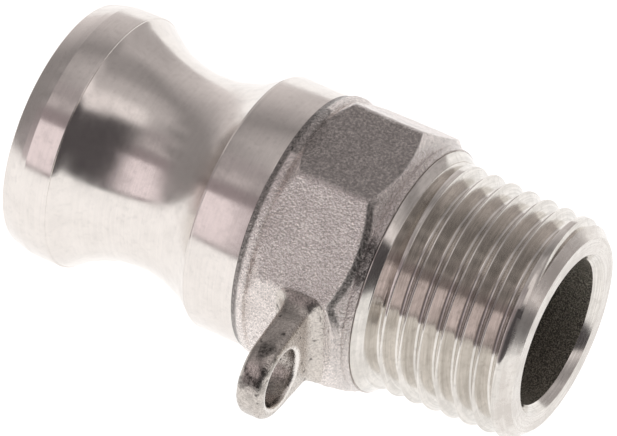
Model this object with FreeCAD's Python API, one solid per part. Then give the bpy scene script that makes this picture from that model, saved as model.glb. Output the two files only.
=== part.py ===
"""Male camlock adapter, DN 15: a cam-groove spigot at one end, a 1/2 inch taper pipe thread at
the other, and an octagonal as-cast wrench body with a cast lanyard eye between them.

The real fitting is one investment casting with machined ends. Each node below is one region of
it, divided where the machining or the shape changes, and neighbours meet face to face.

Frame: millimetres. The flow axis is X, with the nose face at x = 0 and the thread end at
x = LENGTH. +Z is square to the upper wrench flat, and the lanyard eye points along -Y.
"""
import FreeCAD, Part
import math
import os

V = FreeCAD.Vector
AXIS = V(1, 0, 0)
ORIGIN = V(0, 0, 0)

# Driving dimensions, mm.
LENGTH = 50.6
BORE_R = 6.9

# Cam-groove spigot.
SPIGOT_R = 12.1
NOSE_EDGE_R = 11.6          # radius of the nose face's outer edge
NOSE_BREAK = 0.2            # small edge break at the nose face
NOSE_TAPER_LENGTH = 1.45    # lead-in taper behind the nose face
NOSE_TAPER_R = 11.98        # radius at the end of the taper
LAND_EASE = 0.6             # length over which the taper eases into the land
GROOVE_CENTRE_X = 11.9
GROOVE_ARC_R = 10.8
WAIST_R = 9.37
LIP_BREAK = 0.25            # edge break at both sides of the groove
COLLAR_END_X = 24.0

# As-cast wrench body.
RING_R = 12.45
RING_LENGTH = 1.4
RING_BREAK = 0.35
FLAT_COUNT = 8
ACROSS_FLATS = 24.2
CORNER_ROUND = 1.0
FLATS_END_X = 34.2          # end of the flats, at the middle of a flat
CORNERS_END_X = 33.4        # where the corners start to round down
RIM_R = 11.65               # round rim between the flats and the shoulder
RIM_START_X = 34.8
BODY_END_X = 35.6

# Machined shoulder and neck.
SHOULDER_R = 11.6
NECK_START_X = 36.1
THREAD_START_X = 37.0

# Taper pipe thread, 1/2 inch, 14 threads per inch.
PITCH = 25.4 / 14
CREST_R_AT_END = 10.36
THREAD_DEPTH = 1.25
CREST_FLAT = 0.18
FLANK_ANGLE = math.radians(30)
RIDGE_OVERLAP = 0.14        # how far the ridge's root is sunk into the core
TAPER_PER_MM = 1 / 32       # growth of radius per mm of length, 1 in 16 on diameter
THREAD_CLOCK = 99           # where the crest meets the end plane, degrees from +Y towards +Z
END_CHAMFER_LENGTH = 1.2
END_FACE_R = 9.24
MOUTH_CHAMFER = 0.75

# Lanyard eye: a plate square to the flow axis.
EYE_X = 30.9
EYE_THICKNESS = 2.65
EYE_REACH = 17.3            # flow axis to hole centre
EYE_OUTER_R = 4.0
EYE_HOLE_R = 2.65
EYE_ROOT_HALF_WIDTH = 4.6
EYE_EDGE_ROUND = 0.5

# Worked out from the sizes above.
APOTHEM = ACROSS_FLATS / 2
FLAT_ANGLE = 2 * math.pi / FLAT_COUNT
CORNER_R = APOTHEM / math.cos(FLAT_ANGLE / 2)
OVERSHOOT = 1.0             # how far a cutting solid runs past what it cuts


def groove_radius(x):
    """Radius of the cam groove's circular arc at station x."""
    return WAIST_R + GROOVE_ARC_R - math.sqrt(GROOVE_ARC_R ** 2 - (x - GROOVE_CENTRE_X) ** 2)


def groove_half_width():
    """Half the groove's width where its arc reaches the spigot's outside."""
    rise = SPIGOT_R - WAIST_R
    return math.sqrt(GROOVE_ARC_R ** 2 - (GROOVE_ARC_R - rise) ** 2)


def crest_radius(x):
    """Thread crest radius at station x on the taper."""
    return CREST_R_AT_END + (LENGTH - x) * TAPER_PER_MM


GROOVE_START_X = GROOVE_CENTRE_X - groove_half_width()
GROOVE_END_X = GROOVE_CENTRE_X + groove_half_width()


def revolved(points, arc_after=None, arc_through=None):
    """Solid of revolution about X from (x, radius) points.

    The side that follows point number arc_after is an arc through the point arc_through.
    """
    corners = [V(x, 0, r) for x, r in points]
    edges = []
    for i, start in enumerate(corners):
        end = corners[(i + 1) % len(corners)]
        if i == arc_after:
            middle = V(arc_through[0], 0, arc_through[1])
            edges.append(Part.Arc(start, middle, end).toShape())
        else:
            edges.append(Part.LineSegment(start, end).toShape())
    return Part.Face(Part.Wire(edges)).revolve(ORIGIN, AXIS, 360)


def runs_along_x(edge):
    """True for a straight edge parallel to the flow axis."""
    return abs(edge.tangentAt(edge.FirstParameter).x) > 0.99


def nose_land():
    """Sealing land with its lead-in taper, from the nose face to the groove."""
    return revolved([
        (0, BORE_R),
        (0, NOSE_EDGE_R - NOSE_BREAK),
        (NOSE_BREAK, NOSE_EDGE_R),
        (NOSE_TAPER_LENGTH, NOSE_TAPER_R),
        (NOSE_TAPER_LENGTH + LAND_EASE, SPIGOT_R),
        (GROOVE_START_X - LIP_BREAK, SPIGOT_R),
        (GROOVE_START_X, SPIGOT_R - LIP_BREAK / 2),
        (GROOVE_START_X, BORE_R),
    ])


def cam_groove():
    """Waist with a circular-arc profile, where the coupler's cams bear."""
    arc_start = GROOVE_START_X + LIP_BREAK / 2
    arc_end = GROOVE_END_X - LIP_BREAK / 2
    return revolved([
        (GROOVE_START_X, BORE_R),
        (GROOVE_START_X, SPIGOT_R - LIP_BREAK / 2),
        (arc_start, groove_radius(arc_start)),
        (arc_end, groove_radius(arc_end)),
        (GROOVE_END_X, SPIGOT_R - LIP_BREAK / 2),
        (GROOVE_END_X, BORE_R),
    ], arc_after=2, arc_through=(GROOVE_CENTRE_X, WAIST_R))


def stop_collar():
    """Machined collar that fills the coupler's mouth."""
    return revolved([
        (GROOVE_END_X, BORE_R),
        (GROOVE_END_X, SPIGOT_R - LIP_BREAK / 2),
        (GROOVE_END_X + LIP_BREAK, SPIGOT_R),
        (COLLAR_END_X, SPIGOT_R),
        (COLLAR_END_X, BORE_R),
    ])


def octagon_prism(x_start, x_end):
    """Octagonal prism along X with rounded corners and a flat square to +Z."""
    ring = []
    for i in range(FLAT_COUNT + 1):
        angle = (i + 0.5) * FLAT_ANGLE
        ring.append(V(x_start, CORNER_R * math.cos(angle), CORNER_R * math.sin(angle)))
    prism = Part.Face(Part.makePolygon(ring)).extrude(V(x_end - x_start, 0, 0))
    return prism.makeFillet(CORNER_ROUND, [e for e in prism.Edges if runs_along_x(e)])


def octagon_body():
    """As-cast ring, eight wrench flats, and the round rim that meets the machined shoulder."""
    ring_end = COLLAR_END_X + RING_LENGTH
    ring = revolved([
        (COLLAR_END_X, 0),
        (COLLAR_END_X, RING_R - RING_BREAK),
        (COLLAR_END_X + RING_BREAK, RING_R),
        (ring_end - RING_BREAK, RING_R),
        (ring_end, RING_R - RING_BREAK),
        (ring_end, 0),
    ])
    envelope = revolved([
        (COLLAR_END_X, 0),
        (COLLAR_END_X, CORNER_R),
        (CORNERS_END_X, CORNER_R),
        (FLATS_END_X, APOTHEM),
        (RIM_START_X, RIM_R),
        (BODY_END_X, RIM_R),
        (BODY_END_X, 0),
    ])
    prism = octagon_prism(COLLAR_END_X + RING_LENGTH / 2, BODY_END_X)
    body = ring.fuse(prism.common(envelope)).removeSplitter()
    bore_start = COLLAR_END_X - OVERSHOOT
    bore_length = BODY_END_X + OVERSHOOT - bore_start
    return body.cut(Part.makeCylinder(BORE_R, bore_length, V(bore_start, 0, 0), AXIS))


def lanyard_eye():
    """Cast eye on the -Y flat: a plate that narrows to a round end, with a hole along X."""
    back = EYE_X - EYE_THICKNESS / 2
    span = EYE_REACH - APOTHEM
    lean = math.acos(EYE_OUTER_R / math.hypot(span, EYE_ROOT_HALF_WIDTH))
    lean -= math.atan2(span, EYE_ROOT_HALF_WIDTH)
    touch_y = -EYE_REACH - EYE_OUTER_R * math.sin(lean)
    touch_z = EYE_OUTER_R * math.cos(lean)
    root_low = V(back, -APOTHEM, -EYE_ROOT_HALF_WIDTH)
    root_high = V(back, -APOTHEM, EYE_ROOT_HALF_WIDTH)
    touch_low = V(back, touch_y, -touch_z)
    touch_high = V(back, touch_y, touch_z)
    tip = V(back, -EYE_REACH - EYE_OUTER_R, 0)
    outline = Part.Wire([
        Part.LineSegment(root_low, touch_low).toShape(),
        Part.Arc(touch_low, tip, touch_high).toShape(),
        Part.LineSegment(touch_high, root_high).toShape(),
        Part.LineSegment(root_high, root_low).toShape(),
    ])
    plate = Part.Face(outline).extrude(V(EYE_THICKNESS, 0, 0))
    rim = []
    for edge in plate.Edges:
        middle = edge.valueAt((edge.FirstParameter + edge.LastParameter) / 2)
        at_root = abs(middle.y + APOTHEM) < EYE_EDGE_ROUND / 2
        if not at_root and not runs_along_x(edge):
            rim.append(edge)
    plate = plate.makeFillet(EYE_EDGE_ROUND, rim)
    hole_start = V(back - OVERSHOOT, -EYE_REACH, 0)
    return plate.cut(Part.makeCylinder(EYE_HOLE_R, EYE_THICKNESS + 2 * OVERSHOOT, hole_start, AXIS))


def thread_shoulder():
    """Machined shoulder and short plain neck in front of the thread."""
    return revolved([
        (BODY_END_X, BORE_R),
        (BODY_END_X, SHOULDER_R),
        (NECK_START_X, crest_radius(NECK_START_X)),
        (THREAD_START_X, crest_radius(THREAD_START_X)),
        (THREAD_START_X, BORE_R),
    ])


def thread_ridge():
    """Helical ridge of truncated 60 degree form, right-handed, on the taper."""
    start = THREAD_START_X - PITCH
    height = LENGTH + PITCH - start
    helix_r = crest_radius(start)
    helix = Part.makeLongHelix(PITCH, height, helix_r, -math.degrees(math.atan(TAPER_PER_MM)))
    sunk = THREAD_DEPTH + RIDGE_OVERLAP
    half_crest = CREST_FLAT / 2
    half_base = half_crest + sunk * math.tan(FLANK_ANGLE)
    base_r = helix_r - sunk
    profile = Part.makePolygon([
        V(base_r, 0, -half_base),
        V(helix_r, 0, -half_crest),
        V(helix_r, 0, half_crest),
        V(base_r, 0, half_base),
        V(base_r, 0, -half_base),
    ])
    ridge = Part.Wire(helix.Edges).makePipeShell([profile], True, True)
    ridge.rotate(ORIGIN, V(0, 1, 0), 90)
    ridge.translate(V(start, 0, 0))
    clock_at_end = 360 * (LENGTH - start) / PITCH - 90
    ridge.rotate(ORIGIN, AXIS, THREAD_CLOCK - clock_at_end)
    return ridge


def pipe_thread():
    """Taper pipe thread with a chamfered end and a chamfered bore mouth."""
    core = revolved([
        (THREAD_START_X, 0),
        (THREAD_START_X, crest_radius(THREAD_START_X) - THREAD_DEPTH),
        (LENGTH, CREST_R_AT_END - THREAD_DEPTH),
        (LENGTH, 0),
    ])
    chamfer_start = LENGTH - END_CHAMFER_LENGTH
    envelope = revolved([
        (THREAD_START_X, 0),
        (THREAD_START_X, crest_radius(THREAD_START_X)),
        (chamfer_start, crest_radius(chamfer_start)),
        (LENGTH, END_FACE_R),
        (LENGTH, 0),
    ])
    mouth = revolved([
        (THREAD_START_X - OVERSHOOT, 0),
        (THREAD_START_X - OVERSHOOT, BORE_R),
        (LENGTH - MOUTH_CHAMFER, BORE_R),
        (LENGTH, BORE_R + MOUTH_CHAMFER),
        (LENGTH + OVERSHOOT, BORE_R + MOUTH_CHAMFER),
        (LENGTH + OVERSHOOT, 0),
    ])
    return core.fuse(thread_ridge()).common(envelope).cut(mouth)


NODES = {
    "nose_land": nose_land,
    "cam_groove": cam_groove,
    "stop_collar": stop_collar,
    "octagon_body": octagon_body,
    "lanyard_eye": lanyard_eye,
    "thread_shoulder": thread_shoulder,
    "pipe_thread": pipe_thread,
}

os.makedirs("parts", exist_ok=True)
for name, make in NODES.items():
    shape = make()
    if not shape.isValid() or len(shape.Solids) != 1:
        raise RuntimeError(f"{name} is not one valid solid")
    shape.Solids[0].exportStep(f"parts/{name}.step")
    box = shape.BoundBox
    print(f"{name}: {shape.Volume:.1f} mm3, x {box.XMin:.2f} to {box.XMax:.2f}")
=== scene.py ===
"""Looks for the DN 15 male camlock adapter: a turned spigot, a cast octagon body with a lanyard
eye, and a cut pipe thread, on a plain white light table. Shapes are worked out in millimetres in
the part's own frame and scaled to metres when their meshes are made.
"""
import math
import bmesh
import bpy
import numpy as np
from mathutils import Matrix, Vector, noise


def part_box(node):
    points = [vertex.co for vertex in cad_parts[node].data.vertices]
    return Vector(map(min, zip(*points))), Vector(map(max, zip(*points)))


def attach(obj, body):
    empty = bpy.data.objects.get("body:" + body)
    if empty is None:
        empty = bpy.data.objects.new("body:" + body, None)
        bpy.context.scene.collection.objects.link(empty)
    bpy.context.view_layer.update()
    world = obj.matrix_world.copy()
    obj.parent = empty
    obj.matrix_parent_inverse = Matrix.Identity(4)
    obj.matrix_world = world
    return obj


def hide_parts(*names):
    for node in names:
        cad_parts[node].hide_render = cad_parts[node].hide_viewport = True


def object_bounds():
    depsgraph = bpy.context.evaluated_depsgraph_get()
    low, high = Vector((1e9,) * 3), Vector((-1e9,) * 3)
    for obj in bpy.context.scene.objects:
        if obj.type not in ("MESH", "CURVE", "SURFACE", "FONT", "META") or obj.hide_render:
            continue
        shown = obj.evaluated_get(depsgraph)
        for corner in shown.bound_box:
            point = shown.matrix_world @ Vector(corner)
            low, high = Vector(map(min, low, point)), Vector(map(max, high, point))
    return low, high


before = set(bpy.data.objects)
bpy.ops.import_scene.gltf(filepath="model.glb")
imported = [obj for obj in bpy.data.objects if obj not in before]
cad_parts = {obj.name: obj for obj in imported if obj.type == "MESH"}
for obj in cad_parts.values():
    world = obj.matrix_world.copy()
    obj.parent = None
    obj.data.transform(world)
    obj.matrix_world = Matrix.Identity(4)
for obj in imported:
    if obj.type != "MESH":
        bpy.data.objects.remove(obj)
cad_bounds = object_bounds()
MM = 0.001


def node_x(node):
    """Where a CAD node starts and ends along the flow axis, mm."""
    low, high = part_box(node)
    return low.x / MM, high.x / MM


def node_radius(node):
    """A turned CAD node's largest radius, mm."""
    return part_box(node)[1].z / MM


# Stations and outside radii, from the frame.
NOSE_X, GROOVE_START_X = node_x("nose_land")
GROOVE_END_X, COLLAR_END_X = node_x("stop_collar")
BODY_END_X = node_x("thread_shoulder")[0]
LENGTH = node_x("pipe_thread")[1]
SPIGOT_R = node_radius("stop_collar")
RING_R = node_radius("octagon_body")
SHOULDER_R = node_radius("thread_shoulder")
EYE_LOW, EYE_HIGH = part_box("lanyard_eye")
EYE_X = (EYE_LOW.x + EYE_HIGH.x) / 2 / MM
EYE_THICKNESS = (EYE_HIGH.x - EYE_LOW.x) / MM
EYE_TIP_Y = EYE_LOW.y / MM
APOTHEM = -EYE_HIGH.y / MM

# Turned spigot, mm.
BORE_R = 6.9
NOSE_EDGE_R = 11.6
NOSE_BREAK = 0.2
NOSE_TAPER_LENGTH = 1.45
NOSE_TAPER_R = 11.98
LAND_EASE = 0.6
TAPER_ROUND = 0.3           # rounding where the nose taper meets the land
EDGE_BREAK = 0.1
COLLAR_BREAK = 0.08         # edge break where the collar meets the cast body
GROOVE_CENTRE_X = 11.9
GROOVE_ARC_R = 10.8
WAIST_R = 9.37
LIP_BREAK = 0.25
LIP_EASE = 0.5              # rounding where the groove's arc meets the land and the collar

# Cast body, mm.
RING_LENGTH = 1.4
RING_STEP = 0.04            # step up from the collar to the ring
RING_EASE = 0.75            # length over which the ring's front edge rises
RING_FALL_BEFORE = 0.2      # the ring falls from here before its end
RING_FALL_AFTER = 0.25      # to here after it
RING_FALL = 1.2
RING_BLEND = 0.12
CORNER_ROUND = 1.0
CORNER_START_STEP = 0.12
CORNER_START_SLOPE = 0.7    # rise of the cone that starts the octagon's corners
CORNER_START_BLEND = 0.1
FLATS_END_X = 34.2
FLATS_END_SLOPE = 1.14      # fall of the cone that ends the flats
FLATS_END_BLEND = 0.08
RIM_R = 11.65
RIM_START_X = 34.95
RIM_HOLLOW = 0.14
RIM_HOLLOW_EASE = 0.35
RIM_BREAK = 0.08
RIM_BREAK_LENGTH = 0.25
RIM_BLEND = 0.06

# Lanyard eye, mm.
EYE_OUTER_R = 4.0
EYE_HOLE_R = 2.65
EYE_ROOT_HALF_WIDTH = 4.6
EYE_EDGE_ROUND = 0.75
EYE_LIP_ROUND = 0.5         # rounding of the hole's edges
EYE_FILLET = 1.6
EYE_FOOT_SINK = 0.05        # how far the fillets' foot lies under the body's skin
EYE_FOOT_HALF_LENGTH = 2.6
EYE_FOOT_HALF_WIDTH = 6.0
EYE_FOOT_DEPTH = 0.2

# Neck and taper thread, mm.
NECK_START_X = 36.45
PITCH = 25.4 / 14
CREST_R_AT_END = 10.36
TAPER_PER_MM = 1 / 32
THREAD_DEPTH = 1.25
CREST_FLAT = 0.12
THREAD_ROUND = 0.06         # rounding of the thread's crests and roots
THREAD_CLOCK = 99           # angle at which the middle of a crest meets the end face, degrees
RUNOUT_X = 36.3
RUNOUT_LENGTH = 1.1
END_FADE_X = 50.0
END_FADE_LENGTH = 1.0
END_CHAMFER_LENGTH = 1.2
END_CHAMFER_BLEND = 0.05
END_FACE_R = 9.24
MOUTH_CHAMFER = 0.75

# Relief of the cast skin, mm. The offset keeps it on or under the nominal surface on average.
WAVE_RELIEF = 0.045
LUMP_RELIEF = 0.02
GRAIN_RELIEF = 0.016
RELIEF_OFFSET = 0.03
RELIEF_FADE = 0.3           # fades out over this length at the machined ends


# ---------------------------------------------------------------- mesh helpers

def add_piece(name, points, faces, node, materials):
    """A mesh object from points in mm, which stands for a CAD node."""
    mesh = bpy.data.meshes.new(name)
    mesh.from_pydata([tuple(p) for p in np.asarray(points) * MM], [], faces)
    mesh.update()
    for material in materials:
        mesh.materials.append(material)
    mesh.polygons.foreach_set("use_smooth", [True] * len(mesh.polygons))
    piece = bpy.data.objects.new(name, mesh)
    bpy.context.scene.collection.objects.link(piece)
    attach(piece, "root")
    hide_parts(node)
    return piece


def loop_grid(x, r):
    """Points and quads of a closed sleeve about the flow axis.

    x and r have one row per point of the closed profile and one column per step around.
    """
    rows, columns = r.shape
    angle = np.linspace(0, 2 * math.pi, columns, endpoint=False)
    points = np.stack([x, r * np.cos(angle), r * np.sin(angle)], axis=-1).reshape(-1, 3)
    faces = []
    for i in range(rows):
        here, there = i * columns, ((i + 1) % rows) * columns
        for j in range(columns):
            k = (j + 1) % columns
            faces.append((here + j, here + k, there + k, there + j))
    return points, faces


def rounded(corners, steps=5):
    """A closed outline from (x, radius, rounding) corners, each rounded by its tangent arc."""
    outline = []
    count = len(corners)
    for i, (x, r, rounding) in enumerate(corners):
        here = np.array([x, r])
        if not rounding:
            outline.append(here)
            continue
        before = np.array(corners[i - 1][:2]) - here
        after = np.array(corners[(i + 1) % count][:2]) - here
        before /= np.linalg.norm(before)
        after /= np.linalg.norm(after)
        half = math.acos(float(np.clip(before @ after, -1, 1))) / 2
        bisector = (before + after) / np.linalg.norm(before + after)
        centre = here + bisector * rounding / math.sin(half)
        start = here + before * rounding / math.tan(half) - centre
        end = here + after * rounding / math.tan(half) - centre
        for t in np.linspace(0, 1, steps):
            chord = start * (1 - t) + end * t
            outline.append(centre + chord / np.linalg.norm(chord) * rounding)
    return outline


def turned(name, outline, materials, segments=288):
    """A turned ring that stands for the node of its name, from its closed (x, radius) outline."""
    outline = np.array(outline)
    x = np.repeat(outline[:, :1], segments, axis=1)
    r = np.repeat(outline[:, 1:], segments, axis=1)
    points, faces = loop_grid(x, r)
    piece = add_piece(name, points, faces, name, materials)
    piece.data.set_sharp_from_angle(angle=math.radians(28))
    line_bore(piece)
    return piece


def line_bore(piece):
    """Gives a piece's second material to its bore wall."""
    limit = (BORE_R + 0.02) * MM
    for polygon in piece.data.polygons:
        if all(math.hypot(*piece.data.vertices[v].co.yz) < limit for v in polygon.vertices):
            polygon.material_index = 1


def surface_net(field, low, step):
    """Closed quad mesh of the zero level of a field sampled on a grid, negative inside."""
    inside = field < 0
    cells = tuple(n - 1 for n in field.shape)
    total = np.zeros(cells + (3,))
    count = np.zeros(cells)
    corner = np.stack(np.meshgrid(*[np.arange(n) for n in field.shape], indexing="ij"), axis=-1)
    for axis in range(3):
        others = [a for a in range(3) if a != axis]
        first = [slice(None)] * 3
        second = [slice(None)] * 3
        first[axis], second[axis] = slice(None, -1), slice(1, None)
        f0, f1 = field[tuple(first)], field[tuple(second)]
        crossed = (f0 < 0) != (f1 < 0)
        share = np.where(crossed, f0 / np.where(crossed, f0 - f1, 1), 0)
        place = corner[tuple(first)].astype(float)
        place[..., axis] += share
        place *= crossed[..., None]
        for a in (0, 1):
            for b in (0, 1):
                pick = [slice(None)] * 3
                pick[others[0]] = slice(a, a + cells[others[0]])
                pick[others[1]] = slice(b, b + cells[others[1]])
                total += place[tuple(pick)]
                count += crossed[tuple(pick)]
    active = count > 0
    index = -np.ones(cells, int)
    index[active] = np.arange(active.sum())
    points = total[active] / count[active][:, None] * step + np.array(low)
    faces = []
    for axis in range(3):
        u, v = (axis + 1) % 3, (axis + 2) % 3
        first = [slice(1, -1)] * 3
        second = [slice(1, -1)] * 3
        first[axis], second[axis] = slice(0, -1), slice(1, None)
        here, there = inside[tuple(first)], inside[tuple(second)]
        for leaving in (True, False):
            edges = np.argwhere(here & ~there if leaving else ~here & there)
            base = edges.copy()
            base[:, u] += 1
            base[:, v] += 1
            ring = []
            for du, dv in ((1, 1), (0, 1), (0, 0), (1, 0)):
                cell = base.copy()
                cell[:, u] -= du
                cell[:, v] -= dv
                ring.append(index[cell[:, 0], cell[:, 1], cell[:, 2]])
            quads = np.stack(ring if not leaving else ring[::-1], axis=1)
            faces += [tuple(int(n) for n in q[::-1]) for q in quads]
    return points, faces


def smooth_step(value, low, high):
    """0 below low, 1 above high, smooth between."""
    t = np.clip((value - low) / (high - low), 0, 1)
    return t * t * (3 - 2 * t)


def smooth_min(a, b, width):
    """Minimum of two fields, blended over the given width."""
    h = np.clip(0.5 + 0.5 * (b - a) / width, 0, 1)
    return b * (1 - h) + a * h - width * h * (1 - h)


def smooth_max(a, b, width):
    """Maximum of two fields, blended over the given width."""
    return -smooth_min(-a, -b, width)


def window(value, centre, half, soft):
    """1 within half of the centre, then smoothly down to 0 over the soft width."""
    return 1 - smooth_step(np.abs(value - centre), half, half + soft)


def cast_relief(place):
    """Height of the cast skin at a point in mm: soft waves, lumps and grain."""
    wave = noise.noise(place * 0.22 + Vector((3, 7, 1)))
    lumps = noise.noise(place * 0.9)
    grain = noise.noise(place * 2.6 + Vector((9, 2, 5)))
    return WAVE_RELIEF * wave + LUMP_RELIEF * lumps + GRAIN_RELIEF * grain


def roughen(piece, weight):
    """Moves a cast piece's points along their normals by the cast relief."""
    mesh = piece.data
    normals = [v.normal.copy() for v in mesh.vertices]
    for vertex, normal in zip(mesh.vertices, normals):
        place = vertex.co / MM
        amount = weight(place)
        if amount > 0:
            vertex.co += normal * (cast_relief(place) - RELIEF_OFFSET) * amount * MM
    mesh.update()


# ---------------------------------------------------------------- materials

class Nodes:
    """Short calls for adding and linking shader nodes."""

    def __init__(self, tree):
        self.tree = tree

    def add(self, kind, inputs=None, **settings):
        node = self.tree.nodes.new(kind)
        for key, value in settings.items():
            setattr(node, key, value)
        for key, value in (inputs or {}).items():
            socket = node.inputs[key]
            if isinstance(value, bpy.types.NodeSocket):
                self.tree.links.new(value, socket)
            else:
                socket.default_value = value
        return node

    def math(self, operation, *values):
        node = self.add("ShaderNodeMath", dict(enumerate(values)), operation=operation)
        return node.outputs[0]

    def join(self, x, y, z):
        return self.add("ShaderNodeCombineXYZ", {"X": x, "Y": y, "Z": z}).outputs[0]

    def noise(self, vector, scale, detail=2.0, roughness=0.5):
        inputs = {"Vector": vector, "Scale": scale, "Detail": detail, "Roughness": roughness}
        return self.add("ShaderNodeTexNoise", inputs).outputs["Fac"]

    def ramp(self, value, low, high, out_low, out_high):
        inputs = {"Value": value, "From Min": low, "From Max": high,
                  "To Min": out_low, "To Max": out_high}
        node = self.add("ShaderNodeMapRange", inputs, interpolation_type="SMOOTHSTEP")
        return node.outputs["Result"]

    def mix(self, factor, a, b):
        node = self.add("ShaderNodeMix", {"Factor": factor}, data_type="RGBA")
        for socket, value in zip([s for s in node.inputs if s.type == "RGBA"], (a, b)):
            if isinstance(value, bpy.types.NodeSocket):
                self.tree.links.new(value, socket)
            else:
                socket.default_value = value
        return [s for s in node.outputs if s.type == "RGBA"][0]


def new_material(name):
    """A node material with its nodes, its shader and its piece's own place in millimetres."""
    material = bpy.data.materials.new(name)
    material.use_nodes = True
    nodes = Nodes(material.node_tree)
    shader = material.node_tree.nodes["Principled BSDF"]
    place = nodes.add("ShaderNodeTexCoord").outputs["Object"]
    scaled = nodes.add("ShaderNodeVectorMath", {0: place, 1: (1 / MM,) * 3}, operation="MULTIPLY")
    return material, nodes, shader, scaled.outputs["Vector"]


def wire(nodes, shader, **sockets):
    """Sets or links a shader's inputs; underscores in the names stand for spaces."""
    for name, value in sockets.items():
        socket = shader.inputs[name.replace("_", " ")]
        if isinstance(value, bpy.types.NodeSocket):
            nodes.tree.links.new(value, socket)
        else:
            socket.default_value = value


def turned_steel(name, colour, shade, rough, mark_depth, marks_per_mm, streak):
    """Machined stainless steel: circular tool marks and cloudy smudges."""
    material, nodes, shader, place = new_material(name)
    xyz = nodes.add("ShaderNodeSeparateXYZ", {"Vector": place})
    radius = nodes.math("SQRT", nodes.math("ADD", nodes.math("POWER", xyz.outputs["Y"], 2.0),
                                           nodes.math("POWER", xyz.outputs["Z"], 2.0)))
    along = nodes.math("ADD", xyz.outputs["X"], nodes.math("MULTIPLY", radius, 1.37))
    side_y = nodes.math("DIVIDE", xyz.outputs["Y"], radius)
    side_z = nodes.math("DIVIDE", xyz.outputs["Z"], radius)
    track = nodes.join(nodes.math("MULTIPLY", along, marks_per_mm),
                       nodes.math("MULTIPLY", side_y, 1.6), nodes.math("MULTIPLY", side_z, 1.6))
    marks = nodes.noise(track, 1.0, 3.0, 0.6)
    cloud = nodes.noise(place, 0.55, 4.0, 0.6)
    smudge = nodes.noise(place, 1.9, 3.0, 0.6)
    tone = nodes.ramp(marks, 0.36, 0.64, 0.0, streak)
    tone = nodes.math("ADD", tone, nodes.ramp(cloud, 0.35, 0.7, 0.0, 0.4))
    tone = nodes.math("ADD", tone, nodes.ramp(smudge, 0.5, 0.72, 0.0, 0.5))
    base = nodes.mix(tone, colour, shade)
    roughness = nodes.ramp(cloud, 0.3, 0.7, *rough)
    bump = nodes.add("ShaderNodeBump", {"Height": marks, "Distance": mark_depth * MM})
    tangent = nodes.add("ShaderNodeTangent", direction_type="RADIAL", axis="X")
    wire(nodes, shader, Base_Color=base, Roughness=roughness, Metallic=1.0, Anisotropic=0.7,
         Anisotropic_Rotation=0.25, Normal=bump.outputs[0], Tangent=tangent.outputs[0])
    return material


def cast_steel(name, dark, light, rough, relief):
    """Shot-blasted investment casting: sparkling grain, pits, and a per-point attribute, which
    darkens the skin with painted shade and dark blemishes and, where negative, lightens it with a
    painted highlight.
    """
    material, nodes, shader, place = new_material(name)
    grain = nodes.noise(place, 5.2, 3.0, 0.65)
    patch = nodes.noise(place, 0.5, 3.0, 0.5)
    cells = nodes.add("ShaderNodeTexVoronoi", {"Vector": place, "Scale": 3.4})
    dimple = nodes.ramp(cells.outputs["Distance"], 0.0, 0.5, 1.0, 0.0)
    tone = nodes.math("ADD", nodes.ramp(grain, 0.32, 0.62, 0.0, 0.8),
                      nodes.ramp(patch, 0.35, 0.65, 0.0, 0.2))
    clean = nodes.mix(tone, dark, light)
    painted_light_and_blemishes = nodes.add("ShaderNodeAttribute", attribute_name="painted_light_and_blemishes").outputs["Fac"]
    speckle = nodes.ramp(nodes.noise(place, 4.0, 2.0, 0.6), 0.35, 0.65, 0.6, 0.9)
    # Painted shade and dark blemishes, towards near-black.
    base = nodes.mix(nodes.math("MULTIPLY", painted_light_and_blemishes, speckle), clean, (0.02, 0.018, 0.016, 1))
    # Painted highlight, towards pale, where the attribute is negative.
    base = nodes.mix(nodes.math("MULTIPLY", painted_light_and_blemishes, -1.0), base, (0.96, 0.92, 0.88, 1))
    roughness = nodes.ramp(grain, 0.35, 0.7, *rough[::-1])
    height = nodes.math("SUBTRACT", grain, nodes.math("MULTIPLY", dimple, 0.25))
    bump = nodes.add("ShaderNodeBump", {"Height": height, "Distance": relief * MM})
    wire(nodes, shader, Base_Color=base, Roughness=roughness, Metallic=1.0,
         Normal=bump.outputs[0])
    return material


def bore_skin(name):
    """Dark, unmachined casting skin inside the bore."""
    material, nodes, shader, place = new_material(name)
    grain = nodes.noise(place, 8.5, 2.0, 0.7)
    base = nodes.mix(nodes.ramp(grain, 0.42, 0.68, 0.0, 1.0), (0.10, 0.09, 0.075, 1),
                     (0.52, 0.48, 0.40, 1))
    bump = nodes.add("ShaderNodeBump", {"Height": grain, "Distance": 0.12 * MM})
    wire(nodes, shader, Base_Color=base, Roughness=0.6, Metallic=0.7, Normal=bump.outputs[0])
    return material


spigot_steel = turned_steel("spigot_steel", (0.775, 0.73, 0.69, 1), (0.68, 0.64, 0.605, 1),
                            rough=(0.16, 0.25), mark_depth=0.0015, marks_per_mm=9.0, streak=0.3)
thread_steel = turned_steel("thread_steel", (0.78, 0.745, 0.70, 1), (0.60, 0.57, 0.53, 1),
                            rough=(0.13, 0.19), mark_depth=0.0012, marks_per_mm=6.0, streak=0.7)
faced = turned_steel("faced_steel", (0.76, 0.725, 0.68, 1), (0.60, 0.56, 0.52, 1),
                     rough=(0.22, 0.32), mark_depth=0.006, marks_per_mm=6.0, streak=0.7)
cast = cast_steel("cast_steel", (0.60, 0.55, 0.525, 1), (0.93, 0.865, 0.825, 1),
                  rough=(0.16, 0.27), relief=0.16)
# The eye's copy of the cast steel: smoother skin from wear, and darker colours as painted shade.
worn_shaded_cast = cast_steel("worn_shaded_cast_steel", (0.42, 0.385, 0.355, 1), (0.66, 0.61, 0.56, 1),
                       rough=(0.18, 0.30), relief=0.04)
bore = bore_skin("bore_skin")


# ---------------------------------------------------------------- spigot

def groove_radius(x):
    """Radius of the cam groove's arc."""
    return WAIST_R + GROOVE_ARC_R - math.sqrt(GROOVE_ARC_R ** 2 - (x - GROOVE_CENTRE_X) ** 2)


def crest_radius(x):
    """Radius of the tapered thread over its crests."""
    return CREST_R_AT_END + (LENGTH - x) * TAPER_PER_MM


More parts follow.
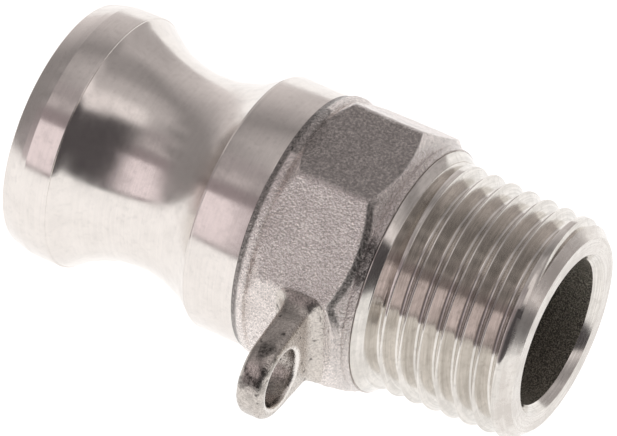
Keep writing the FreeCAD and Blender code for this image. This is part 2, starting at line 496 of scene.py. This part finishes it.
turned("nose_land", rounded([
    (NOSE_X, BORE_R, 0),
    (NOSE_X, NOSE_EDGE_R, NOSE_BREAK),
    (NOSE_TAPER_LENGTH, NOSE_TAPER_R, TAPER_ROUND),
    (NOSE_TAPER_LENGTH + LAND_EASE, SPIGOT_R, TAPER_ROUND),
    (GROOVE_START_X, SPIGOT_R, EDGE_BREAK),
    (GROOVE_START_X, BORE_R, 0),
]), [spigot_steel, bore])

groove = [(GROOVE_START_X, BORE_R)]
for x in np.linspace(GROOVE_START_X, GROOVE_END_X - LIP_BREAK / 2, 90):
    lip = SPIGOT_R if x < GROOVE_CENTRE_X else SPIGOT_R + LIP_EASE
    groove.append((x, float(smooth_min(lip, groove_radius(x), LIP_EASE))))
groove += [(GROOVE_END_X, SPIGOT_R - LIP_BREAK / 2), (GROOVE_END_X, BORE_R)]
turned("cam_groove", groove, [spigot_steel, bore])

turned("stop_collar", rounded([
    (GROOVE_END_X, BORE_R, 0),
    (GROOVE_END_X, SPIGOT_R, EDGE_BREAK),
    (COLLAR_END_X, SPIGOT_R, COLLAR_BREAK),
    (COLLAR_END_X, BORE_R, 0),
]), [spigot_steel, bore])

# ---------------------------------------------------------------- thread

turned("thread_shoulder", rounded([
    (BODY_END_X, BORE_R, 0),
    (BODY_END_X, SHOULDER_R, EDGE_BREAK),
    (NECK_START_X, crest_radius(NECK_START_X), 0),
    (NECK_START_X, BORE_R, 0),
]), [thread_steel, bore])


def thread_radius(x, from_root, run_out):
    """Outside radius of the thread at a station, at a distance from its groove's centre."""
    slope = 1 / math.tan(math.radians(30))
    sharp_depth = (PITCH - CREST_FLAT) / 2 * slope * run_out
    flanks = sharp_depth - np.abs(from_root) * slope
    depth = smooth_max(flanks, np.zeros_like(x), THREAD_ROUND)
    depth = smooth_min(depth, np.full_like(x, THREAD_DEPTH), THREAD_ROUND)
    chamfer_start = LENGTH - END_CHAMFER_LENGTH
    drop = (crest_radius(chamfer_start) - END_FACE_R) / END_CHAMFER_LENGTH
    chamfer = END_FACE_R + (LENGTH - x) * drop
    return smooth_min(crest_radius(x) - depth, chamfer, END_CHAMFER_BLEND)


def thread_rows(degrees):
    """Stations and radii of the threaded outside, in rows that follow the helix.

    Rows lie at shares of the way from a groove's centre to its edge, close together at its root
    and edge, and then at shares of the way from its edge to the middle of the crest.
    """
    inner = np.array([0, 0.06, 0.12, 0.16, 0.25, 0.4, 0.55, 0.7, 0.82, 0.9, 0.95, 0.98, 1.0])
    outer = np.array([0.35, 0.7, 1.0])
    narrowest = 0.05
    turns = (degrees - THREAD_CLOCK) / 360
    first = math.floor((NECK_START_X - LENGTH) / PITCH) - 1
    rows_x, rows_r = [], []
    for turn in range(first, 2):
        root_x = LENGTH + PITCH * (turn + 0.5 + turns)
        run_out = np.clip((root_x - RUNOUT_X) / RUNOUT_LENGTH, 0, 1)
        run_out = run_out * np.clip((END_FADE_X - root_x) / END_FADE_LENGTH, 0, 1)
        edge = (PITCH - CREST_FLAT) / 2 * np.maximum(run_out, narrowest)
        offsets = [-edge - (PITCH / 2 - edge) * h for h in outer[-2::-1]]
        offsets += [-edge * g for g in inner[:0:-1]]
        offsets += [edge * g for g in inner]
        offsets += [edge + (PITCH / 2 - edge) * h for h in outer]
        for offset in offsets:
            rows_x.append(root_x + offset)
            rows_r.append(thread_radius(root_x + offset, offset, run_out))
    return np.array(rows_x), np.array(rows_r)


def thread_skin(degrees):
    """The threaded outside as an open mesh, cut square at the neck and at the end."""
    x, r = thread_rows(degrees)
    radians = np.radians(degrees)
    points = np.stack([x, r * np.cos(radians), r * np.sin(radians)], axis=-1)
    rows, steps = r.shape
    skin = bmesh.new()
    grid = [[skin.verts.new(points[i, j]) for j in range(steps)] for i in range(rows)]
    for i in range(rows - 1):
        for j in range(steps - 1):
            skin.faces.new((grid[i][j], grid[i][j + 1], grid[i + 1][j + 1], grid[i + 1][j]))
    bmesh.ops.remove_doubles(skin, verts=skin.verts, dist=1e-4)
    for station, side in ((NECK_START_X, -1), (LENGTH, 1)):
        parts = skin.verts[:] + skin.edges[:] + skin.faces[:]
        bmesh.ops.bisect_plane(skin, geom=parts, dist=1e-6, plane_co=(station, 0, 0),
                               plane_no=(side, 0, 0), clear_outer=True)
    return skin


def add_rings(mesh, outline, radians):
    """Rings of points about the flow axis, one for each (x, radius), joined by quads."""
    rings = []
    for x, radius in outline:
        ring = [mesh.verts.new((x, radius * math.cos(a), radius * math.sin(a))) for a in radians]
        rings.append(ring)
    for ring, following in zip(rings, rings[1:]):
        for j in range(len(ring)):
            k = (j + 1) % len(ring)
            mesh.faces.new((ring[j], ring[k], following[k], following[j]))


def close_end(mesh, station):
    """Joins the outside's and the bore's open edges at a station by an end face."""
    loops = [e for e in mesh.edges if e.is_boundary
             and all(abs(v.co.x - station) < 1e-4 for v in e.verts)]
    bmesh.ops.bridge_loops(mesh, edges=loops)


def make_thread():
    """The threaded end: its helical skin, closed by the bore's wall and two end faces."""
    degrees = np.linspace(0, 360, 401)
    mesh = thread_skin(degrees)
    corners = rounded([
        (NECK_START_X, BORE_R, 0),
        (LENGTH, END_FACE_R, 0),
        (LENGTH, BORE_R + MOUTH_CHAMFER, EDGE_BREAK),
        (LENGTH - MOUTH_CHAMFER, BORE_R, EDGE_BREAK),
    ])
    wall = [corners[0]] + corners[:1:-1]
    add_rings(mesh, wall, np.radians(degrees)[:-1])
    close_end(mesh, NECK_START_X)
    close_end(mesh, LENGTH)
    bmesh.ops.recalc_face_normals(mesh, faces=mesh.faces)
    mesh.verts.index_update()
    points = [v.co.copy() for v in mesh.verts]
    faces = [[v.index for v in f.verts] for f in mesh.faces]
    mesh.free()
    piece = add_piece("pipe_thread", points, faces, "pipe_thread",
                      [thread_steel, bore, faced])
    piece.data.set_sharp_from_angle(angle=math.radians(35))
    line_bore(piece)
    for polygon in piece.data.polygons:
        outside = math.hypot(*polygon.center.yz) > (BORE_R + MOUTH_CHAMFER) * MM
        at_end = polygon.center.x > (LENGTH - 1.0) * MM
        if outside and at_end and polygon.normal.x > 0.6:
            polygon.material_index = 2


make_thread()

# ---------------------------------------------------------------- cast body and eye

def octagon_radius(degrees):
    """Radius of the rounded octagon at an angle from +Y towards +Z."""
    quarter = 45.0
    off = np.radians(np.abs((degrees + quarter / 2) % quarter - quarter / 2))
    half = math.radians(quarter / 2)
    flat = APOTHEM / np.cos(off)
    reach = (APOTHEM - CORNER_ROUND) / math.cos(half)
    from_corner = half - off
    inner = np.clip(CORNER_ROUND ** 2 - (reach * np.sin(from_corner)) ** 2, 0, None)
    corner = reach * np.cos(from_corner) + np.sqrt(inner)
    touch = math.atan((APOTHEM - CORNER_ROUND) * math.tan(half) / APOTHEM)
    return np.where(off > touch, corner, flat)


def body_radius(x, degrees):
    """Outside radius of the cast body: ring, octagon with eased ends, hollow and round rim."""
    ring_end = COLLAR_END_X + RING_LENGTH
    ring_low = SPIGOT_R + RING_STEP
    rise = smooth_step(x, COLLAR_END_X, COLLAR_END_X + RING_EASE)
    ring = ring_low + (RING_R - ring_low) * rise
    ring -= smooth_step(x, ring_end - RING_FALL_BEFORE, ring_end + RING_FALL_AFTER) * RING_FALL
    start_cone = SPIGOT_R + CORNER_START_STEP + (x - ring_end) * CORNER_START_SLOPE
    octagon = smooth_min(octagon_radius(degrees), start_cone, CORNER_START_BLEND)
    end_cone = APOTHEM + (FLATS_END_X - x) * FLATS_END_SLOPE
    octagon = smooth_min(octagon, end_cone, FLATS_END_BLEND)
    shape = smooth_max(ring, octagon, RING_BLEND)
    rim = RIM_R - RIM_HOLLOW * (1 - smooth_step(x, RIM_START_X - RIM_HOLLOW_EASE, RIM_START_X))
    rim -= smooth_step(x, BODY_END_X - RIM_BREAK_LENGTH, BODY_END_X) * RIM_BREAK
    return smooth_max(shape, rim, RIM_BLEND)


def root_painted_shade(x, y, z):
    """Painted shade: a dark crescent in the crook above the eye's root."""
    across = np.hypot(y + APOTHEM, z - EYE_ROOT_HALF_WIDTH - 0.2) / 0.4
    along = (x - EYE_X - 0.2) / 0.9
    return 0.9 * np.exp(-across ** 2 - along ** 2)


def body_painted_shade(x, degrees, r):
    """Painted shade on the body's skin, 0 to 1: at its ring's front edge, on the +Z flat, in the
    hollow before the rim on the side between the +Z flat and the eye, and in the crook above the
    eye; the rim is made a little darker too.
    """
    below_flat = octagon_radius(degrees) - r
    ring_edge = 1 - smooth_step(x, COLLAR_END_X + 0.4, COLLAR_END_X + 0.8)
    top_flat = window(degrees, 90, 20, 4) * (1 - smooth_step(below_flat, 0.02, 0.12))
    hollow = smooth_step(x, FLATS_END_X - 1.2, FLATS_END_X - 1.0) * window(degrees, 138, 22, 12)
    hollow *= smooth_step(below_flat, 0.03, 0.15) * (1 - smooth_step(below_flat, 0.5, 0.85))
    rim = smooth_step(x, FLATS_END_X - 0.4, FLATS_END_X + 0.2)
    turn = np.radians(degrees)
    root = root_painted_shade(x, r * np.cos(turn), r * np.sin(turn))
    return np.clip(0.85 * ring_edge + 0.72 * top_flat + hollow + 0.16 * rim + root, 0, 1)


def body_weight(place):
    """How much cast relief a point of the body takes: none at the bore and machined ends."""
    if math.hypot(place.y, place.z) < BORE_R + 1:
        return 0
    edge = min(place.x - COLLAR_END_X, BODY_END_X - place.x)
    return min(1.0, edge / RELIEF_FADE)


def make_body():
    """The cast body as a closed sleeve, with its painted shade stored on its points."""
    columns, rows = 720, 110
    stations = np.linspace(COLLAR_END_X, BODY_END_X, rows)
    degrees = np.linspace(0, 360, columns, endpoint=False)
    x, around = np.meshgrid(stations, degrees, indexing="ij")
    r = body_radius(x, around)
    # Painted shade on the body's skin, kept on its points for the cast material.
    painted_light_and_blemishes = body_painted_shade(x, around, r)
    r[-1] = SHOULDER_R
    ends = np.array([COLLAR_END_X, BODY_END_X])
    tail = np.repeat(ends[:, None], columns, axis=1)
    x = np.vstack([tail[:1], x, tail[1:]])
    r = np.vstack([np.full((1, columns), BORE_R), r, np.full((1, columns), BORE_R)])
    points, faces = loop_grid(x, r)
    piece = add_piece("octagon_body", points, faces, "octagon_body", [cast, bore])
    painted_light_and_blemishes = np.pad(painted_light_and_blemishes, ((1, 1), (0, 0))).ravel()
    piece.data.attributes.new("painted_light_and_blemishes", "FLOAT", "POINT").data.foreach_set("value", painted_light_and_blemishes)
    roughen(piece, body_weight)
    piece.data.set_sharp_from_angle(angle=math.radians(60))
    line_bore(piece)


def eye_field(x, y, z):
    """Signed distance, mm, of the lanyard eye with its fillets into the body's -Y flat."""
    centre_y = EYE_TIP_Y + EYE_OUTER_R
    span = -APOTHEM - centre_y
    lean = math.acos(EYE_OUTER_R / math.hypot(span, EYE_ROOT_HALF_WIDTH))
    lean -= math.atan2(span, EYE_ROOT_HALF_WIDTH)
    from_hole = np.hypot(y - centre_y, z)
    side = np.abs(z) * math.cos(lean) - (y - centre_y) * math.sin(lean) - EYE_OUTER_R
    along = (y - centre_y) * math.cos(lean) + np.abs(z) * math.sin(lean)
    outline = np.where(along > 0, side, from_hole - EYE_OUTER_R)
    a = outline + EYE_EDGE_ROUND
    b = np.abs(x - EYE_X) - EYE_THICKNESS / 2 + EYE_EDGE_ROUND
    plate = np.hypot(np.maximum(a, 0), np.maximum(b, 0)) + np.minimum(np.maximum(a, b), 0)
    plate = smooth_max(plate - EYE_EDGE_ROUND, EYE_HOLE_R - from_hole, EYE_LIP_ROUND)
    degrees = np.degrees(np.arctan2(z, y))
    body = np.hypot(y, z) - body_radius(x, degrees) + EYE_FOOT_SINK
    return smooth_min(plate, body, EYE_FILLET)


def eye_painted_light_and_pits(place, normal):
    """Tone of the eye's skin: painted shade on its upper side, inside its hole and in the crook of
    its root; dark blotches near its tip and dark pits; and a painted highlight (negative) at the
    hole's lips.
    """
    upward = normal.z
    cloud = noise.noise(place * 0.7 + Vector((4, 1, 8)))
    # Painted shade on the side that faces up.
    upper = smooth_step(upward, 0.2, 0.7) * (0.26 + 0.5 * cloud)
    tip = 1 - smooth_step(place.y - EYE_TIP_Y, 3.0, 5.0)
    tip *= smooth_step(upward, -0.2, 0.5)
    blotch = 0.65 * tip * smooth_step(noise.noise(place * 0.9), 0.02, 0.25)
    pits = 0.8 * smooth_step(noise.noise(place * 2.1 + Vector((5, 5, 5))), 0.5, 0.56)
    from_hole = math.hypot(place.y - EYE_TIP_Y - EYE_OUTER_R, place.z) - EYE_HOLE_R
    side = EYE_THICKNESS / 2
    # Painted highlight along the hole's lips.
    lip = window(from_hole, 0.28, 0.12, 0.18)
    lip *= smooth_step(abs(place.x - EYE_X), side - 0.45, side - 0.2)
    # Painted shade inside the hole.
    inside = 0.3 * (1 - smooth_step(from_hole, 0.05, 0.25)) * smooth_step(upward, 0.0, 0.7)
    painted_light_and_blemishes = upper + blotch + pits + inside + root_painted_shade(place.x, place.y, place.z)
    return float(np.clip(painted_light_and_blemishes, 0, 1) * (1 - lip) - 0.6 * lip)


def make_eye():
    """The eye and its fillets as a closed net, cut off a little under the body's skin."""
    step = 0.11
    low = np.array([EYE_X - 3.0, EYE_TIP_Y - 0.3, -6.4])
    high = np.array([EYE_X + 3.0, -APOTHEM + 0.5, 6.4])
    axes = [np.arange(a, b, step) for a, b in zip(low, high)]
    x, y, z = np.meshgrid(*axes, indexing="ij")
    beyond_x = np.abs(x - EYE_X) - EYE_FOOT_HALF_LENGTH
    beyond_z = np.abs(z) - EYE_FOOT_HALF_WIDTH
    beyond_y = y + APOTHEM - EYE_FOOT_DEPTH
    box = np.maximum(beyond_x, np.maximum(beyond_z, beyond_y))
    points, faces = surface_net(np.maximum(eye_field(x, y, z), box), low, step)
    piece = add_piece("lanyard_eye", points, faces, "lanyard_eye", [worn_shaded_cast])
    roughen(piece, lambda place: 1.0)
    # Painted shade, a painted highlight and dark blemishes, kept on the eye's points.
    painted_light_and_blemishes = piece.data.attributes.new("painted_light_and_blemishes", "FLOAT", "POINT").data
    for vertex, value in zip(piece.data.vertices, painted_light_and_blemishes):
        value.value = eye_painted_light_and_pits(vertex.co / MM, vertex.normal)


make_body()
make_eye()


# ---------------------------------------------------------------- studio

def light_table():
    """A plain white floor that glows softly, as a light table does."""
    half = 3.0
    z = cad_bounds[0][2]
    mesh = bpy.data.meshes.new("floor")
    mesh.from_pydata([(-half, -half, z), (half, -half, z), (half, half, z), (-half, half, z)],
                     [], [(0, 1, 2, 3)])
    material = bpy.data.materials.new("floor_white")
    material.use_nodes = True
    shader = material.node_tree.nodes["Principled BSDF"]
    wire(Nodes(material.node_tree), shader, Base_Color=(0.3, 0.3, 0.3, 1), Roughness=0.8,
         Emission_Color=(1, 1, 1, 1), Emission_Strength=1.02)
    mesh.materials.append(material)
    floor = bpy.data.objects.new("floor", mesh)
    bpy.context.scene.collection.objects.link(floor)


def grey(value, tint=(1.0, 0.94, 0.94)):
    """A colour of the given brightness, nearly neutral unless tinted otherwise."""
    return tuple(value * t for t in tint) + (1.0,)


SHADE = (1.0, 0.91, 0.96)
ROSE = (1.0, 0.84, 0.88)
BLUSH = (1.0, 0.90, 0.92)
PALE_BLUSH = (1.0, 0.91, 0.92)

# Soft panels on the room's grey: angle around the flow axis from +Y towards +Z and its softness,
# in degrees, then lean along the axis and its softness, as the direction's X part, and colour.
# A later panel lies over the earlier ones.
STUDIO_PANELS = [
    ((-60, 16), 12, (-1.2, -0.38), 0.10, grey(0.86)),
    ((-90, 30), 14, (-0.08, 1.2), 0.14, grey(0.50)),
    ((40, 62), 8, (-0.08, 1.2), 0.14, grey(0.36)),
    ((68, 104), 6, (-0.48, -0.16), 0.08, grey(0.46)),
    ((77, 88), 5, (-0.48, -0.16), 0.08, grey(0.55)),
    ((66, 104), 6, (-0.20, 1.2), 0.12, grey(0.58)),
    ((85, 102), 5, (-0.05, 1.2), 0.10, grey(1.0)),
    ((60, 98), 8, (-1.2, -0.48), 0.08, grey(0.31)),
    ((100, 112), 5, (-0.66, -0.12), 0.10, grey(0.43, BLUSH)),
    ((112, 124), 4, (-0.64, -0.12), 0.10, grey(0.60, PALE_BLUSH)),
    ((98, 200), 8, (-1.2, -0.68), 0.06, grey(0.30)),
    ((124, 200), 4, (-0.70, -0.05), 0.08, grey(0.34, ROSE)),
    ((107, 200), 5, (0.0, 1.2), 0.12, grey(0.087, SHADE)),
    ((99, 107), 3, (0.55, 1.2), 0.06, grey(1.0)),
    ((72, 78), 3, (-0.66, -0.54), 0.08, grey(0.24)),
    ((80, 87), 3, (-0.66, -0.54), 0.08, grey(0.50)),
    ((89, 96), 3, (-0.66, -0.54), 0.08, grey(0.22)),
    ((98, 107), 3, (-0.66, -0.54), 0.08, grey(0.44)),
    ((109, 118), 3, (-0.66, -0.54), 0.08, grey(0.17)),
]


def front_card():
    """A faintly pink card beside the spigot, on the eye's side, that fades at its ends."""
    y, z_low, z_high, x_low, x_high = -0.085, 0.010, 0.082, -0.080, 0.022
    mesh = bpy.data.meshes.new("card")
    mesh.from_pydata([(x_low, y, z_low), (x_high, y, z_low), (x_high, y, z_high),
                      (x_low, y, z_high)], [], [(0, 1, 2, 3)])
    material = bpy.data.materials.new("card_white")
    material.use_nodes = True
    tree = material.node_tree
    tree.nodes.clear()
    nodes = Nodes(tree)
    place = nodes.add("ShaderNodeTexCoord").outputs["Object"]
    x = nodes.add("ShaderNodeSeparateXYZ", {"Vector": place}).outputs["X"]
    shown = nodes.math("MULTIPLY", nodes.ramp(x, x_low, x_low + 0.035, 0.0, 1.0),
                       nodes.ramp(x, x_high - 0.026, x_high, 1.0, 0.0))
    light = nodes.add("ShaderNodeEmission", {"Color": (1.0, 0.89, 0.92, 1), "Strength": 1.02})
    clear = nodes.add("ShaderNodeBsdfTransparent")
    both = nodes.add("ShaderNodeMixShader", {0: shown, 1: clear.outputs[0], 2: light.outputs[0]})
    nodes.add("ShaderNodeOutputMaterial", {"Surface": both.outputs[0]})
    mesh.materials.append(material)
    card = bpy.data.objects.new("card", mesh)
    card.visible_camera = False
    bpy.context.scene.collection.objects.link(card)


def studio_world():
    """Grey room with soft white panels, placed by angle around the flow axis and lean along it."""
    world = bpy.data.worlds.new("studio")
    world.use_nodes = True
    bpy.context.scene.world = world
    tree = world.node_tree
    tree.nodes.clear()
    nodes = Nodes(tree)
    way = nodes.add("ShaderNodeTexCoord").outputs["Generated"]
    xyz = nodes.add("ShaderNodeSeparateXYZ", {"Vector": way})
    lean = xyz.outputs["X"]
    angle = nodes.math("ARCTAN2", xyz.outputs["Z"], xyz.outputs["Y"])
    turn = nodes.math("DEGREES", angle)

    def band(value, low, high, soft):
        rise = nodes.ramp(value, low - soft, low + soft, 0.0, 1.0)
        fall = nodes.ramp(value, high - soft, high + soft, 1.0, 0.0)
        return nodes.math("MULTIPLY", rise, fall)

    def panel(turns, turn_soft, leans, lean_soft):
        return nodes.math("MULTIPLY", band(turn, *turns, turn_soft), band(lean, *leans, lean_soft))

    glow = nodes.mix(nodes.ramp(turn, 20.0, 62.0, 0.0, 1.0), grey(0.66), grey(0.36))
    for turns, turn_soft, leans, lean_soft, colour in STUDIO_PANELS:
        glow = nodes.mix(panel(turns, turn_soft, leans, lean_soft), glow, colour)
    slanted = nodes.math("ADD", turn, nodes.math("MULTIPLY", lean, 25.0))
    beam = nodes.math("MULTIPLY", band(slanted, 49, 56, 5), band(lean, -0.75, 0.3, 0.15))
    glow = nodes.mix(beam, glow, grey(0.29))
    seen = nodes.add("ShaderNodeBackground", {"Color": (0.93, 0.93, 0.93, 1), "Strength": 1.0})
    lit = nodes.add("ShaderNodeBackground", {"Color": glow, "Strength": 1.0})
    camera_ray = nodes.add("ShaderNodeLightPath").outputs["Is Camera Ray"]
    choice = nodes.add("ShaderNodeMixShader", {0: camera_ray, 1: lit.outputs[0],
                                               2: seen.outputs[0]})
    nodes.add("ShaderNodeOutputWorld", {"Surface": choice.outputs[0]})


def product_camera():
    """Long lens from above, on the eye's side and a little towards the thread end."""
    aim = Vector((24.78, 0.10, 0.93)) * MM
    azimuth, elevation, roll = math.radians(28.90), math.radians(45.71), math.radians(1.61)
    distance = 0.622
    back = Vector((math.sin(azimuth) * math.cos(elevation),
                   -math.cos(azimuth) * math.cos(elevation), math.sin(elevation)))
    level_right = Vector((math.cos(azimuth), math.sin(azimuth), 0))
    level_up = back.cross(level_right)
    right = level_right * math.cos(roll) + level_up * math.sin(roll)
    up = back.cross(right)
    data = bpy.data.cameras.new("camera")
    data.lens = 408.4
    data.sensor_width = 36
    data.clip_start = 0.01
    data.clip_end = 20
    camera = bpy.data.objects.new("camera", data)
    turn = Matrix((right, up, back)).transposed().to_4x4()
    camera.matrix_world = Matrix.Translation(aim + back * distance) @ turn
    bpy.context.scene.collection.objects.link(camera)
    bpy.context.scene.camera = camera


light_table()
front_card()
studio_world()
product_camera()
bpy.context.scene.view_settings.view_transform = "Standard"
